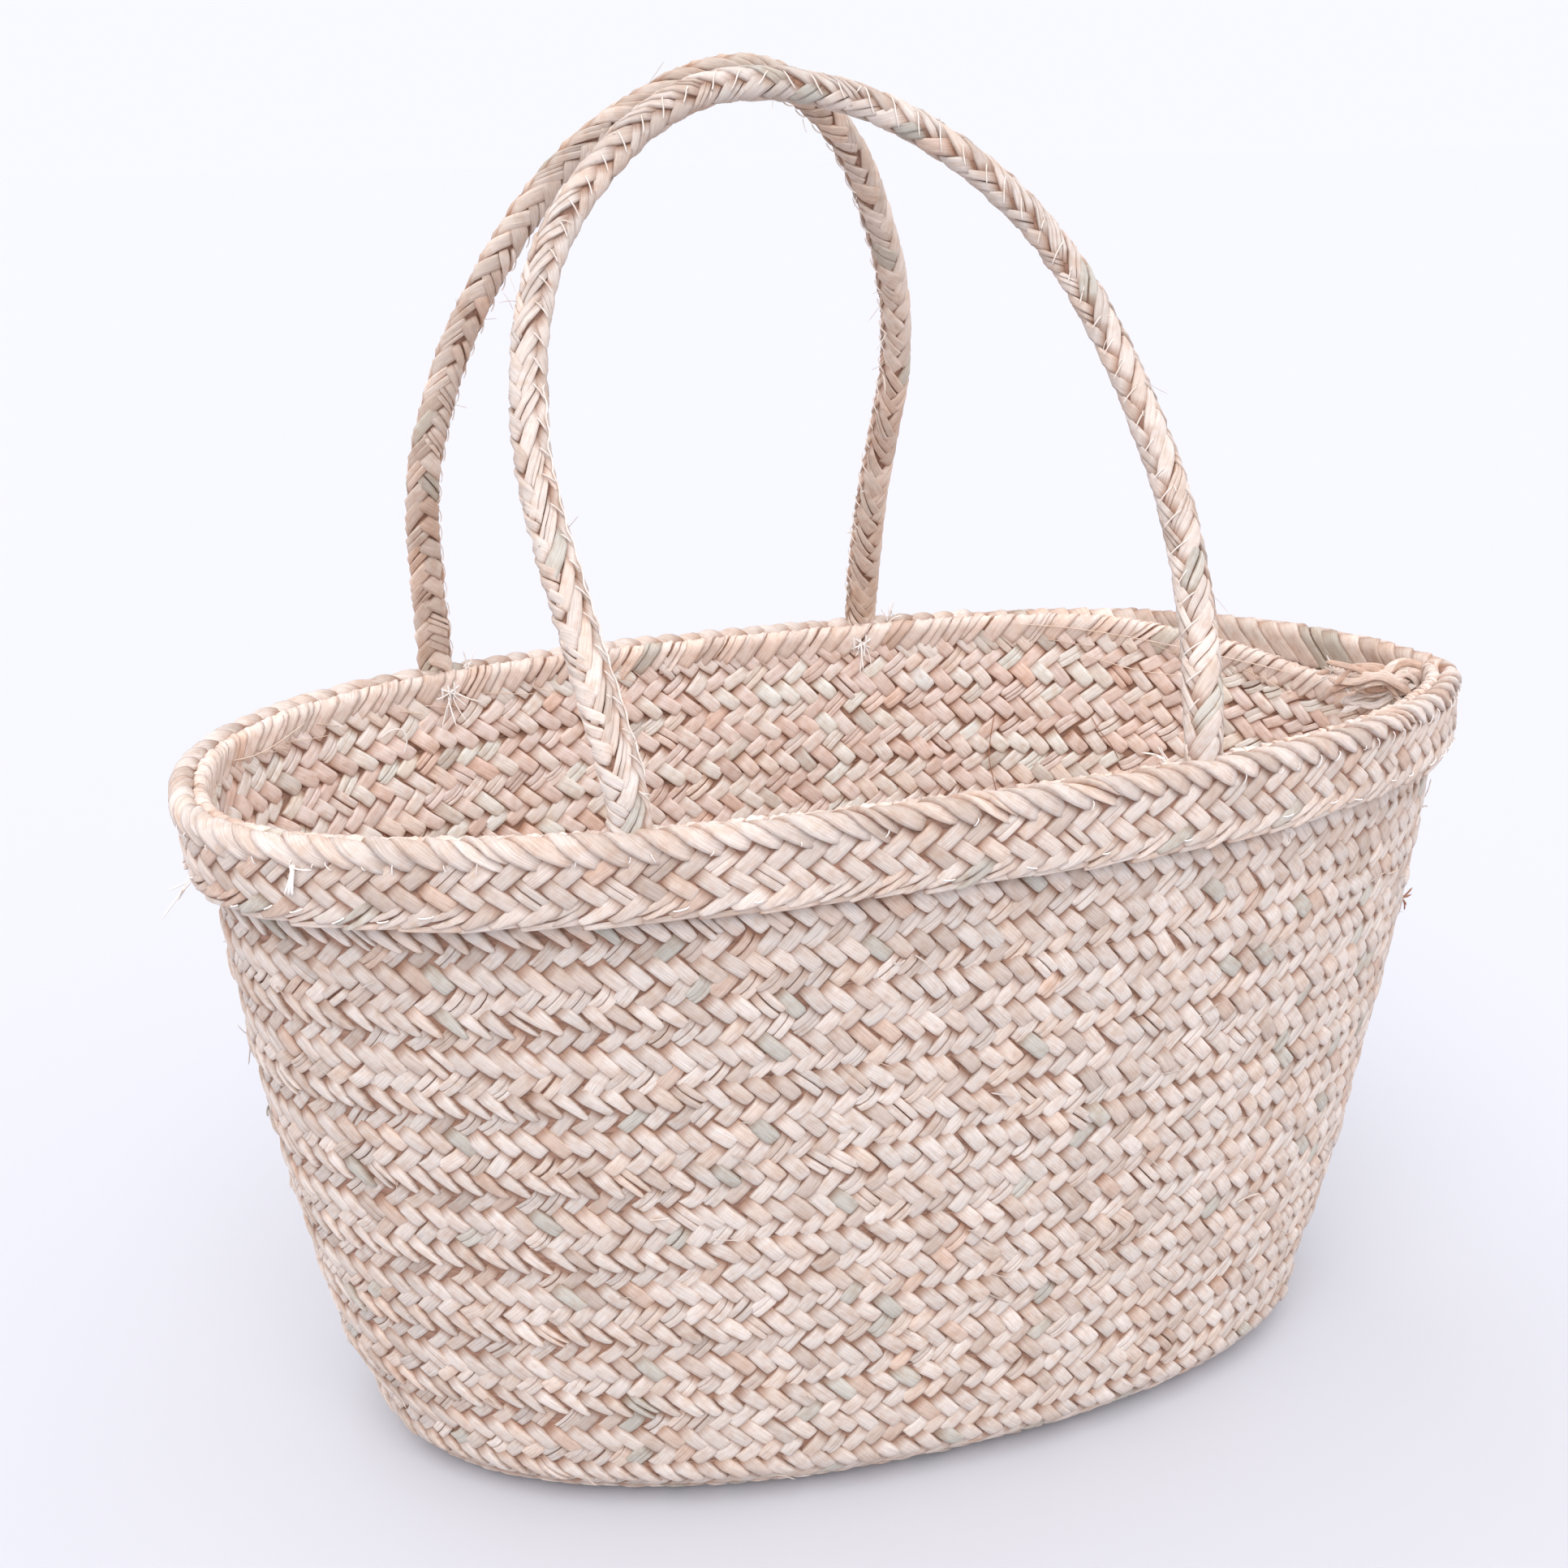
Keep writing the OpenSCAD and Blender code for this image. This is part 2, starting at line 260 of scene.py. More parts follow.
def leaf_mesh(surface, table, grid=FINE, inward=False, step=0.0003):
    """Pillowed patches on a surface: (vertices, quads, strand uv, tint)."""
    gu, gv = np.array(grid[0]), np.array(grid[1])
    nu, nv, n = len(gu), len(gv), len(table)
    u, v = np.meshgrid(gu, gv, indexing="ij")
    col = {k: table[k][:, None, None] for k in STRIP.names if k != "tint"}
    end = np.clip((gu - 0.62) / 0.38, 0, 1)[None, :, None]
    full = np.sqrt(np.clip(1 - col["round"] * end**3.4, 0.02, 1))
    full = full * (1 - col["taper"] * u**1.5)
    along = (u - 0.5) * col["len"]
    across = v * full * col["wid"] / 2 + col["off"] - col["bend"] * u**2
    across = across + col["bow"] * 4 * u * (1 - u)
    reach = np.where(u < col["peak"], col["peak"], 1 - col["peak"])
    belly = 1 - np.abs((u - col["peak"]) / reach) ** 2.6
    rim_u = np.interp(gu, [0, 0.07, 0.28, 0.80, 0.91, 0.97, 1], [0, 0.5, 1, 1, 0.96, 0.80, 0])
    rim_v = np.interp(np.abs(gv), [0, 0.5, 0.8, 0.90, 1], [1, 1, 0.98, 0.93, 0])
    rim = rim_u[:, None] * rim_v[None, :]
    crown = 1 - 0.12 * v**2
    rise = col["h"] * (0.45 + 0.55 * belly) * crown + col["roll"] * v
    height = -UNDER + (UNDER + rise) * rim
    cos, sin = np.cos(col["ang"]), np.sin(col["ang"])
    x = along * cos - across * sin
    z = along * sin + across * cos
    side = -1 if inward else 1
    a = col["a"] + side * x
    s = col["s"] + z
    p = surface(a, s)
    da = surface(a + step, s) - p
    ds = surface(a, s + step) - p
    normal = np.cross(da, ds)
    normal /= np.linalg.norm(normal, axis=-1, keepdims=True) + 1e-12
    p = p + side * normal * height[..., None]
    index = np.arange(n * nu * nv).reshape(n, nu, nv)
    quads = quad_faces(index)
    if inward:
        quads = quads[:, ::-1]
    # every strip gets its own place in the fibre texture
    uv = np.stack([along, across], -1) + RNG.uniform(0, 40, (n, 1, 1, 2))
    # strips darken towards their rims: partly brown leaf edge, partly painted shade where they meet and
    # tuck under
    tone = mix(EDGE_BROWN_AND_SHADE, np.ones(3), np.clip((rim - 0.40) / 0.55, 0, 1)[..., None])
    tint = table["tint"][:, None, None, :] * tone[None]
    return p.reshape(-1, 3), quads, uv.reshape(-1, 2), tint.reshape(-1, 3)


GRID_UV = (0.004, 0.001)  # texture step per row and per column


def grid_mesh(points, wrap_u=False, wrap_v=False, tint=(1, 1, 1), flip=False):
    """Grid of points [i, j] as quads; wrap joins the last row or column to the first."""
    nu, nv = points.shape[:2]
    index = np.arange(nu * nv).reshape(nu, nv)
    if wrap_u:
        index = np.concatenate([index, index[:1]])
    if wrap_v:
        index = np.concatenate([index, index[:, :1]], 1)
    quads = quad_faces(index)
    if flip:
        quads = quads[:, ::-1]
    gi, gj = np.meshgrid(np.arange(nu), np.arange(nv), indexing="ij")
    uv = np.stack([gi * GRID_UV[0], gj * GRID_UV[1]], -1).reshape(-1, 2)
    tints = np.broadcast_to(np.array(tint, float), (nu * nv, 3))
    return points.reshape(-1, 3), quads, uv, tints


TUBE_TIP = 0.15  # a tube's ends narrow to this share
TUBE_UP = np.array([0.31, 0.17, 0.93])  # a direction that no tube runs along


def tube(path, radius, sides=6, tint=(1, 1, 1), flat=1.0):
    """Thin closed tube along a path of points, round or flattened to a strip."""
    path = np.asarray(path, float)
    n = len(path)
    radius = np.full(n, float(radius))
    radius[[0, -1]] *= TUBE_TIP
    tangent = np.gradient(path, axis=0)
    tangent /= np.linalg.norm(tangent, axis=1, keepdims=True) + 1e-12
    side = np.cross(tangent, TUBE_UP)
    side /= np.linalg.norm(side, axis=1, keepdims=True) + 1e-12
    other = np.cross(tangent, side)
    ang = np.linspace(0, 2 * math.pi, sides, endpoint=False)
    cos, sin = np.cos(ang)[None, :, None], np.sin(ang)[None, :, None]
    ring = other[:, None] * cos + side[:, None] * flat * sin
    points = path[:, None] + ring * radius[:, None, None]
    return grid_mesh(points, wrap_v=True, tint=tint)


def bend(points, steps):
    """Catmull-Rom curve through the points."""
    p = np.array(points, float)
    e = np.vstack([2 * p[0] - p[1], p, 2 * p[-1] - p[-2]])
    out = []
    for i in range(len(p) - 1):
        for u in np.arange(steps + (i == len(p) - 2)) / steps:
            a, b, c, d = e[i : i + 4]
            square, cube = 2 * a - 5 * b + 4 * c - d, 3 * b - a - 3 * c + d
            out.append(0.5 * (2 * b + (c - a) * u + square * u * u + cube * u**3))
    return np.array(out)


def place(profile, t, level, step=1e-5):
    """Point on a profile at t degrees, with unit vectors along, up and out."""
    t, level = np.array([math.radians(t)]), np.array([level])
    p = profile(t, level)[0]
    along = profile(t + step, level)[0] - p
    up = profile(t, level + step)[0] - p
    along /= np.linalg.norm(along)
    up -= along * (up @ along)
    up /= np.linalg.norm(up)
    return p, along, up, np.cross(along, up)


def thread(profile, t, level, points, radius=0.3, tint=None, inward=False):
    """Sewing thread through points (along, up, out) in mm from a place on a profile."""
    p, along, up, out = place(profile, t, level)
    side = -1 if inward else 1
    path = [p + (along * side * x + up * y + out * side * h) / 1000 for x, y, h in points]
    return tube(bend(path, 5), radius / 1000, tint=THREAD_TINT if tint is None else tint)


def fray(start, toward, spread, count, length, radius, tints, droop=0.4):
    """Loose fibre ends that fan out from a point; sizes in mm."""
    parts = []
    start, toward = np.array(start), np.array(toward) / np.linalg.norm(toward)
    for _ in range(count):
        d = toward + RNG.normal(0, spread, 3)
        d /= np.linalg.norm(d)
        size = length * RNG.uniform(0.6, 1.15) / 1000
        u = np.linspace(0, 1, 8)[:, None]
        curl = RNG.normal(0, 0.35, 3)
        path = start + RNG.normal(0, 0.0006, 3) + d * size * u + curl * size * u**2
        path = path - np.array([0, 0, droop * size]) * u**2
        tint = tints[RNG.integers(len(tints))]
        parts.append((tube(path, radius / 1000 * RNG.uniform(0.7, 1.2), tint=tint), 0))
    return parts


def make_piece(name, parts, materials, body="root", nodes=()):
    """One mesh object from (mesh part, material index) pairs, riding on a body."""
    co, faces, uvs, tints, mats, base = [], [], [], [], [], 0
    for (p, q, uv, tint), m in parts:
        co.append(p)
        faces.append(q + base)
        uvs.append(uv)
        tints.append(tint)
        mats.append(np.full(len(q), m))
        base += len(p)
    co, faces, uvs = np.concatenate(co), np.concatenate(faces), np.concatenate(uvs)
    tints, mats = np.concatenate(tints), np.concatenate(mats)
    mesh = bpy.data.meshes.new(name)
    mesh.vertices.add(len(co))
    mesh.vertices.foreach_set("co", co.astype(np.float32).ravel())
    mesh.loops.add(faces.size)
    mesh.loops.foreach_set("vertex_index", faces.astype(np.int32).ravel())
    mesh.polygons.add(len(faces))
    mesh.polygons.foreach_set("loop_start", (np.arange(len(faces)) * 4).astype(np.int32))
    mesh.polygons.foreach_set("material_index", mats.astype(np.int32))
    mesh.polygons.foreach_set("use_smooth", np.ones(len(faces), bool))
    mesh.update(calc_edges=True)
    layer = mesh.uv_layers.new(name="strand")
    layer.data.foreach_set("uv", uvs[faces.ravel()].astype(np.float32).ravel())
    color = mesh.color_attributes.new("tint", "FLOAT_COLOR", "POINT")
    rgba = np.concatenate([tints, np.ones((len(tints), 1))], 1)
    color.data.foreach_set("color", rgba.astype(np.float32).ravel())
    for m in materials:
        mesh.materials.append(m)
    mesh.validate()
    piece = bpy.data.objects.new(name, mesh)
    bpy.context.scene.collection.objects.link(piece)
    if body:
        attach(piece, body)
    if nodes:
        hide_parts(*nodes)
    return piece


# ---- materials ---------------------------------------------------------------------------
def leaf_material(name, rough=0.62, fibre=0.30, bump=0.25):
    """Dried palm leaf: tinted per strip, with fine fibres along it and faint blotches."""
    m = bpy.data.materials.new(name)
    m.use_nodes = True
    nodes, links = m.node_tree.nodes, m.node_tree.links
    shader = nodes["Principled BSDF"]
    shader.inputs["Roughness"].default_value = rough
    shader.inputs["Specular IOR Level"].default_value = 0.28
    uv = nodes.new("ShaderNodeUVMap")
    uv.uv_map = "strand"
    scale = nodes.new("ShaderNodeMapping")
    scale.inputs["Scale"].default_value = (110, 2600, 1)
    links.new(uv.outputs["UV"], scale.inputs["Vector"])
    fine = nodes.new("ShaderNodeTexNoise")
    fine.inputs["Scale"].default_value = 1
    fine.inputs["Detail"].default_value = 4
    fine.inputs["Roughness"].default_value = 0.62
    links.new(scale.outputs["Vector"], fine.inputs["Vector"])
    ramp = nodes.new("ShaderNodeMapRange")
    ramp.inputs["From Min"].default_value = 0.28
    ramp.inputs["From Max"].default_value = 0.62
    ramp.inputs["To Min"].default_value = 1 - fibre
    ramp.inputs["To Max"].default_value = 1.04
    links.new(fine.outputs["Fac"], ramp.inputs["Value"])
    tint = nodes.new("ShaderNodeAttribute")
    tint.attribute_name = "tint"
    place = nodes.new("ShaderNodeTexCoord")
    blotch = nodes.new("ShaderNodeTexNoise")
    blotch.inputs["Scale"].default_value = 260
    blotch.inputs["Detail"].default_value = 3
    links.new(place.outputs["Object"], blotch.inputs["Vector"])
    stain = nodes.new("ShaderNodeValToRGB")
    stain.color_ramp.elements[0].position = 0.30
    stain.color_ramp.elements[0].color = (0.90, 0.82, 0.76, 1)
    stain.color_ramp.elements[1].position = 0.55
    stain.color_ramp.elements[1].color = (1, 1, 1, 1)
    links.new(blotch.outputs["Fac"], stain.inputs["Fac"])
    one = nodes.new("ShaderNodeMix")
    one.data_type, one.blend_type = "RGBA", "MULTIPLY"
    one.inputs["Factor"].default_value = 1
    links.new(tint.outputs["Color"], one.inputs["A"])
    links.new(stain.outputs["Color"], one.inputs["B"])
    two = nodes.new("ShaderNodeVectorMath")
    two.operation = "SCALE"
    links.new(one.outputs["Result"], two.inputs[0])
    links.new(ramp.outputs["Result"], two.inputs["Scale"])
    links.new(two.outputs["Vector"], shader.inputs["Base Color"])
    relief = nodes.new("ShaderNodeBump")
    relief.inputs["Strength"].default_value = bump
    relief.inputs["Distance"].default_value = 0.0002
    links.new(fine.outputs["Fac"], relief.inputs["Height"])
    links.new(relief.outputs["Normal"], shader.inputs["Normal"])
    return m


LEAF = leaf_material("palm_leaf")
LEAF_SPLIT = leaf_material("palm_leaf_split", rough=0.68, fibre=0.42, bump=0.4)
BACKING = leaf_material("palm_leaf_under", rough=0.85, fibre=0.5, bump=0.5)
CORD = leaf_material("leaf_cord", rough=0.75, fibre=0.4, bump=0.5)
THREAD = leaf_material("sewing_thread", rough=0.8, fibre=0.15, bump=0.3)
LEAVES = [LEAF, BACKING]
# painted shade: the hidden lower layers, fillings and cores are the same leaf, painted dark brown for the
# shade between and under the strips
UNDER_SHADE_TINT = linear(166, 130, 112)
THREAD_TINT = linear(250, 246, 243)
STITCH_TINT = linear(238, 228, 220)
HAIR_TINT = linear(214, 194, 180)
BROWN_TINT = linear(176, 128, 104)
CORD_TINT = linear(178, 144, 126)
FIBRE_TINT = linear(226, 206, 188)
SLACK_TINT = linear(232, 214, 198)

# ---- body ----------------------------------------------------------------------------------
OUT_D, IN_D = 0.0012, PLAIT_T - 0.0012  # depths of the strips' two faces
DROP, DROP_H = 0.020, 0.070  # near the tip the inner edge comes down, and the rows with it
DROP_FROM, DROP_TO, DROP_END = math.radians(64), math.radians(8), math.radians(-6)


def half_turn(t):
    """An angle brought between minus and plus half a turn."""
    return np.mod(t + math.pi, 2 * math.pi) - math.pi


def selvedge_drop(t):
    """How far the inner edge of the top turn has come down, where the spiral ends."""
    t = half_turn(t)
    return DROP * smooth(t, DROP_FROM, DROP_TO) * (t > DROP_END)


def out_profile(t, s):
    return skin(t, s, OUT_D)


def in_profile(t, s):
    sag = selvedge_drop(t) * np.clip(1 - (TOP_S - s) / DROP_H, 0, 1)
    return skin(t, s - sag, IN_D)


OPEN_AT = math.radians(207)  # here the seams gape and the strips end in points


def twill_size(row_h, pitch):
    """Slant, width and length of a strip that fills its place in a twill."""
    slant = math.atan2(row_h, pitch)
    wide = pitch * math.sin(slant)
    return slant, wide, 2 * wide / math.sin(2 * slant)


def twill_rows(total, angle, top, rows, row_h, pitch, first=0, shade=(1, 1, 1)):
    """Herringbone rows of strips, counted downwards from the profile length top."""
    count = max(8, round(total / pitch))
    pitch = total / count
    slant, wide, long = twill_size(row_h, pitch)
    tables = []
    start = RNG.uniform(0, pitch)
    for r in rows:
        k = r + first
        down = k % 2 == 0
        seam = k % 4 == 0
        a = start + (np.arange(count) + (0.25 if down else 0.75)) * pitch
        wave = 0.0004 * np.sin(a * 41 + k * 1.7) + 0.0003 * np.sin(a * 97 + k * 4.1)
        t = strips(count, a=a, s=top - (r + 0.5) * row_h + wave, tint=tones(count, shade))
        gap = smooth(np.cos(angle(a) - OPEN_AT), 0.6, 0.92) * (first == 0)
        if down:
            t["ang"] = -slant - 0.02
            t["len"], t["wid"] = long * 1.15, wide * 1.10
            t["h"] = 0.0015 if seam else 0.0011
            t["round"], t["peak"] = (0.62 if seam else 0.48), 0.66
            t["roll"] = 0.00015
            if seam:
                t["taper"] = 0.72 * gap
                t["len"] *= 1 + 0.14 * gap
            t["s"] -= 0.0004
            t["bow"] = RNG.normal(0.0001, 0.0003, count)
        else:
            t["ang"] = math.pi + slant - 0.03
            t["len"], t["wid"] = long * 1.06, wide * 1.04
            t["h"] = 0.0008
            if k % 4 == 1:
                t["h"] -= 0.0008 * gap
                t["wid"] *= 1 - 0.16 * gap
                # painted shade: the recessed strips where the seams gape are darkened by up to 12%
                t["tint"] *= 1 - 0.12 * gap[:, None]
            t["round"], t["peak"] = 0.25, 0.60
            t["bow"] = RNG.normal(0.0005, 0.0004, count)
        t = jitter(t, 0.00035, 0.06, 0.07, 0.18)
        t = split(t, 0.08 if down else 0.36)
        t = split(t, 0.0 if down else 0.10)
        tables.append(t)
    return np.concatenate(tables)


def round_angles(count):
    """Angles once round the body, as a column."""
    return np.linspace(0, 2 * math.pi, count, endpoint=False)[:, None]


def backing(s0, s1, steps=8, segments=200):
    """The lower layers of the plait, a thin closed band between the two faces."""
    t = round_angles(segments)
    under_edge = TOP_S - 0.007 - selvedge_drop(t)
    s = np.minimum(np.linspace(s0, s1, steps)[None], under_edge)
    out = skin(t, s, OUT_D + UNDER * 0.9)
    back = skin(t, s[:, ::-1], IN_D - UNDER * 0.9)
    # painted shade: the hidden layer takes the dark under tint
    return grid_mesh(np.concatenate([out, back], 1), wrap_u=True, wrap_v=True, tint=UNDER_SHADE_TINT)


PITCH, IN_PITCH = 0.00745, 0.0084  # from strip to strip along a row, outside and inside
INSIDE = (1.37, 1.345, 1.38)  # lightens the inside, which gets less light


def turn_piece(name, s0, s1, nodes, grid=FINE, outer=True, rows_per_turn=4):
    """One turn of the plait: strips outside and inside over the hidden layer."""
    row_h = (s1 - s0) / rows_per_turn
    mid = (s0 + s1) / 2
    parts = [(backing(s0, s1), 1)]
    rows = range(rows_per_turn)
    if outer:
        surface, total, angle = ring_surface(out_profile, mid)
        table = twill_rows(total, angle, s1, rows, row_h, PITCH)
        parts.append((leaf_mesh(surface, table, grid), 0))
    surface, total, angle = ring_surface(in_profile, mid)
    # the rolled selvedge takes the place of the top row inside
    rows = [r for r in rows if s1 - r * row_h < TOP_S - 0.001]
    table = twill_rows(total, angle, s1, rows, row_h, IN_PITCH, first=1, shade=INSIDE)
    parts.append((leaf_mesh(surface, table, grid, inward=True), 0))
    make_piece(name, parts, LEAVES, nodes=nodes)


for i in range(1, WALL_TURNS + 1):
    s0 = CORNER_LEN + (i - 1) * TURN_H
    turn_piece(f"woven_wall_turn_{i}", s0, s0 + TURN_H, [f"wall_turn_{i}"], outer=i < WALL_TURNS)
turn_piece("woven_corner_turn", 0, CORNER_LEN, ["corner_turn"])
for i in range(1, BASE_TURNS + 1):
    s0 = -(BASE_TURNS - i + 1) * TURN_H
    turn_piece(f"woven_base_turn_{i}", s0, s0 + TURN_H, [f"base_turn_{i}"], COARSE)
centre_s = -(BASE_B - CORNER_R - 0.0005)
turn_piece("woven_base_start", centre_s, -BASE_TURNS * TURN_H, ["base_start"], COARSE, rows_per_turn=3)

# ---- mouth band -----------------------------------------------------------------------------
ROLL_R = 0.0032  # radius of the rolled top
STRIP_H = 0.0008  # room left inside the CAD band for the strips' own height
FACE_O = BAND_OUT - STRIP_H
FACE_LEN = BAND_H - ROLL_R - STRIP_H


def band_profile(t, q):
    """Face of the band from its lower edge, then over the rolled top to the inside."""
    phi = np.maximum(q - FACE_LEN, 0) / ROLL_R
    over = np.maximum(phi - math.pi, 0) * ROLL_R
    phi = np.minimum(phi, math.pi)
    out = FACE_O - ROLL_R * (1 - np.cos(phi)) + over * 0.12
    z = BODY_H - BAND_H + np.minimum(q, FACE_LEN) + ROLL_R * np.sin(phi) - over
    return skin(t, CORNER_LEN + (z - CORNER_R), -out)


BAND_PITCH, BAND_ROW = 0.0089, 0.0073
band_surface, band_total, band_angle = ring_surface(band_profile, BAND_H / 2)
count = round(band_total / BAND_PITCH)
BAND_PITCH = band_total / count
slant, wide, long = twill_size(BAND_ROW, BAND_PITCH)
lane = np.arange(count) * BAND_PITCH
PALE = (1.0, 0.985, 0.975)

# from the foot up: blades that end in points over a thin hem, and two rows above them
blades = strips(count, a=lane + 0.75 * BAND_PITCH - 0.0012, s=0.0040, ang=math.pi + slant + 0.02)
blades["len"], blades["wid"], blades["h"] = 0.0150, wide * 1.06, 0.0011
blades["bend"], blades["taper"], blades["roll"] = 0.0034, 0.62, 0.0003
blades["tint"] = tones(count, PALE)
blades = split(jitter(blades, 0.0003, 0.05), 0.4)
hem = strips(count // 2, a=np.arange(count // 2) * 2 * BAND_PITCH, s=0.0012, ang=math.pi + 0.08)
hem["len"], hem["wid"], hem["h"], hem["taper"] = 0.0230, 0.0028, 0.0003, 0.4
hem["tint"] = tones(len(hem), PALE)
hem = jitter(hem, 0.0004, 0.03)
row3 = strips(count, a=lane + 0.25 * BAND_PITCH, s=BAND_ROW * 1.55, ang=-slant)
row3["len"], row3["wid"], row3["h"], row3["round"] = long * 1.05, wide * 0.97, 0.0011, 0.3
row3["tint"] = tones(count, PALE)
row3 = split(jitter(row3), 0.10)
row2 = strips(count, a=lane + 0.75 * BAND_PITCH, s=BAND_ROW * 2.5, ang=math.pi + slant)
row2["len"], row2["wid"], row2["h"], row2["round"] = long * 1.05, wide * 0.97, 0.0010, 0.3
row2["tint"] = tones(count, PALE)
row2 = split(jitter(row2), 0.26)
# strips that wrap over the rolled top, and the inside of the band where it shows
wraps = strips(count, a=lane - 0.0022, s=FACE_LEN + 0.0032, ang=-0.60)
wraps["len"], wraps["wid"], wraps["h"] = 0.0240, 0.0068, 0.0012
wraps["round"], wraps["peak"], wraps["roll"] = 0.85, 0.62, -0.0012
wraps["tint"] = tones(count, (0.98, 0.97, 0.97))
turned = np.degrees(half_turn(band_angle(lane)))
bared = (turned > -12) & (turned < 74)  # where the inner selvedge has dropped
wraps["s"][bared] -= 0.0042
wraps = split(jitter(wraps, 0.0004, 0.05), 0.12)
ROUND_TOP = FACE_LEN + ROLL_R * math.pi
behind = strips(count, a=lane, s=ROUND_TOP + 0.0038, ang=math.pi - 0.87)
behind["len"], behind["wid"], behind["h"], behind["round"] = 0.0290, 0.0076, 0.0012, 0.2
behind["roll"], behind["peak"] = 0.0003, 0.35
behind["tint"] = tones(count, (1.04, 1.0, 0.97))
behind = split(jitter(behind[bared], 0.0003, 0.04), 0.2)


def filling(sections, share, flip=False):
    """Closed band under the strips: sections round the body, shrunk about their middles."""
    ring = np.concatenate(sections, 1)
    mid = ring.mean(1, keepdims=True)
    points = mid + (ring - mid) * share
    # painted shade: the filling takes the dark under tint
    return grid_mesh(points, wrap_u=True, wrap_v=True, tint=UNDER_SHADE_TINT, flip=flip)


t = round_angles(300)
rolled = FACE_LEN + ROLL_R * np.linspace(0.3, math.pi, 8)
q = np.concatenate([np.linspace(0.0012, FACE_LEN, 6), rolled])
back_top = skin(t, TOP_S - 0.0008, -TAIL_GAP - 0.0006)
back_foot = skin(t, TOP_S - BAND_H + 0.0012, -TAIL_GAP)
band_core = filling([band_profile(t, q[None]), back_top, back_foot], 0.93)
# the foot of the band is sewn down to the wall
foot_face = band_profile(t, np.array([[0.0015, 0.0045]]))
foot_wall = [skin(t, TOP_S - BAND_H + up, OUT_D) for up in (0.0045, 0.0015)]
band_foot = filling([foot_face] + foot_wall, 1.0)
make_piece(
    "woven_mouth_band",
    [(leaf_mesh(band_surface, x), 0) for x in (blades, hem, row3, row2)]
    + [(leaf_mesh(band_surface, x, CURVED), 0) for x in (wraps, behind)]
    + [(band_core, 1), (band_foot, 1)],
    LEAVES,
    nodes=["mouth_band"],
)

# ---- inner edge of the top turn, rolled ----------------------------------------------------
RIDGE_R, RIDGE_LOW = 0.0020, 0.0036  # its roll, and how far below the band's top it starts


def ridge_profile(t, q):
    """Rolled inner selvedge: from the groove beside the band, over and down inside."""
    phi = q / RIDGE_R
    over = np.maximum(phi - math.pi, 0) * RIDGE_R
    d = 0.0003 + RIDGE_R * (1 - np.cos(np.clip(phi, 0, math.pi))) - over * 0.12
    over = over + np.maximum(-q, 0)
    z = BODY_H - RIDGE_LOW + RIDGE_R * np.sin(np.clip(phi, 0, math.pi)) - over - selvedge_drop(t)
    return skin(t, CORNER_LEN + (z - CORNER_R), d)


RIDGE_PITCH = 0.0088
ridge_surface, ridge_total, _ = ring_surface(ridge_profile, RIDGE_R)
count = round(ridge_total / RIDGE_PITCH)
plaits = strips(count, a=np.arange(count) * ridge_total / count, s=0.0062, ang=0.92)
plaits["len"], plaits["wid"], plaits["h"], plaits["round"] = 0.0220, 0.0082, 0.0010, 0.3
plaits["taper"], plaits["roll"], plaits["peak"] = 0.12, 0.0004, 0.5
plaits["tint"] = tones(count, (1.20, 1.165, 1.155))
plaits = split(split(jitter(plaits, 0.0004, 0.07), 0.42), 0.18)
q = RIDGE_R * np.linspace(0, math.pi + 1.2, 9)[None]
ridge_foot = [skin(t, TOP_S - 0.009 - selvedge_drop(t), PLAIT_T * k) for k in (0.9, 0.45)]
ridge_core = filling([ridge_profile(t, q)] + ridge_foot, 0.86, flip=True)
make_piece(
    "inner_selvedge",
    [(leaf_mesh(ridge_surface, plaits, CURVED), 0), (ridge_core, 1)],
    LEAVES,
)


# ---- handles ------------------------------------------------------------------------------
JOINTS = {j["name"]: j for j in frame["joints"]}
HANDLE_W, HANDLE_T = 0.014, 0.010
TAPER, LEAN = 0.78, math.radians(24)  # share of the width left at the top, lean inwards
# centre lines from root to root in mm: along the hinge line and up the leaning plane
ARCHES = {
    "front": [(-92, 0), (-102, 56), (-108, 108), (-96, 162), (-60, 202), (-22, 212)]
    + [(24, 197), (64, 158), (88, 97), (95, 46), (92, 0)],
    "back": [(-87, 0), (-91, 60), (-87, 98), (-73, 142), (-43, 190), (5, 217)]
    + [(43, 200), (69, 157), (82, 112), (83, 52), (87, 0)],
}
ROOT_DEPTH = 0.026  # how far the ends run down between wall and band
TAIL_CUT = 0.014  # length at each end that belongs to the tail piece
HANDLE_PITCH = 0.0088


def handle_path(side):
    """Centre line of a handle, evenly spaced, its length so far, and its plane's axes."""
    joint = JOINTS[f"handle_{side}_swing"]
    origin, axis = np.array(joint["pos_m"]), np.array(joint["axis"])
    inward = 1 if side == "front" else -1
    ex = axis * inward
    n = np.array([-ex[1], ex[0], 0])
    ez = math.cos(LEAN) * np.array([0, 0, 1]) + math.sin(LEAN) * inward * n
    arch = bend(ARCHES[side], 24) / 1000
    path = origin + arch[:, :1] * ex + arch[:, 1:] * ez
    down = np.linspace(ROOT_DEPTH, 0.0012, 14)[:, None] * np.array([[0, 0, -1.0]])
    path = np.concatenate([path[0] + down, path, (path[-1] + down)[::-1]])
    for _ in range(30):
        path[1:-1] = 0.25 * path[:-2] + 0.5 * path[1:-1] + 0.25 * path[2:]
    run = np.concatenate([[0], np.cumsum(np.linalg.norm(np.diff(path, axis=0), axis=1))])
    even = np.linspace(0, run[-1], 500)
    path = np.stack([np.interp(even, run, path[:, k]) for k in range(3)], 1)
    return path, even, ex, ez


